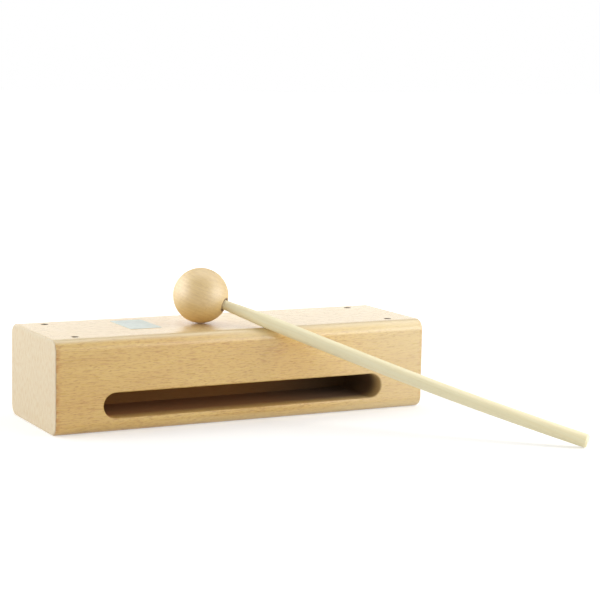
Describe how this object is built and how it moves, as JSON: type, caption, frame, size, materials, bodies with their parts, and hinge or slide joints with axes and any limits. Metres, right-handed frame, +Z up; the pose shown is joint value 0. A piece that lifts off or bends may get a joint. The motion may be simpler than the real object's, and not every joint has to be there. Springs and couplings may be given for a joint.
{
  "type": "woodblock",
  "caption": "Rectangular hardwood block with rounded long edges and a long slot routed into each side, struck with a loose ball-headed wooden beater that leans on it.",
  "frame": {"origin": "middle of the block's base, on the surface it stands on", "axes": "+X along the block, +Y away from the front slot, +Z up"},
  "size_m": [0.2005, 0.1627, 0.0662],
  "materials": {
    "block_beech": "satin lacquer",
    "label_paper": "satin",
    "head_beech": "satin lacquer",
    "handle_dowel": "bare, sanded"
  },
  "bodies": {
    "block": {"block_body": "block_beech", "blank_label": "label_paper"},
    "beater": {"beater_head": "head_beech", "beater_handle": "handle_dowel"}
  },
  "joints": [
    {"name": "beater_lift", "type": "slide", "parent": "block", "child": "beater", "axis": [0, 0, 1], "range_m": [0, 0.12]}
  ]
}
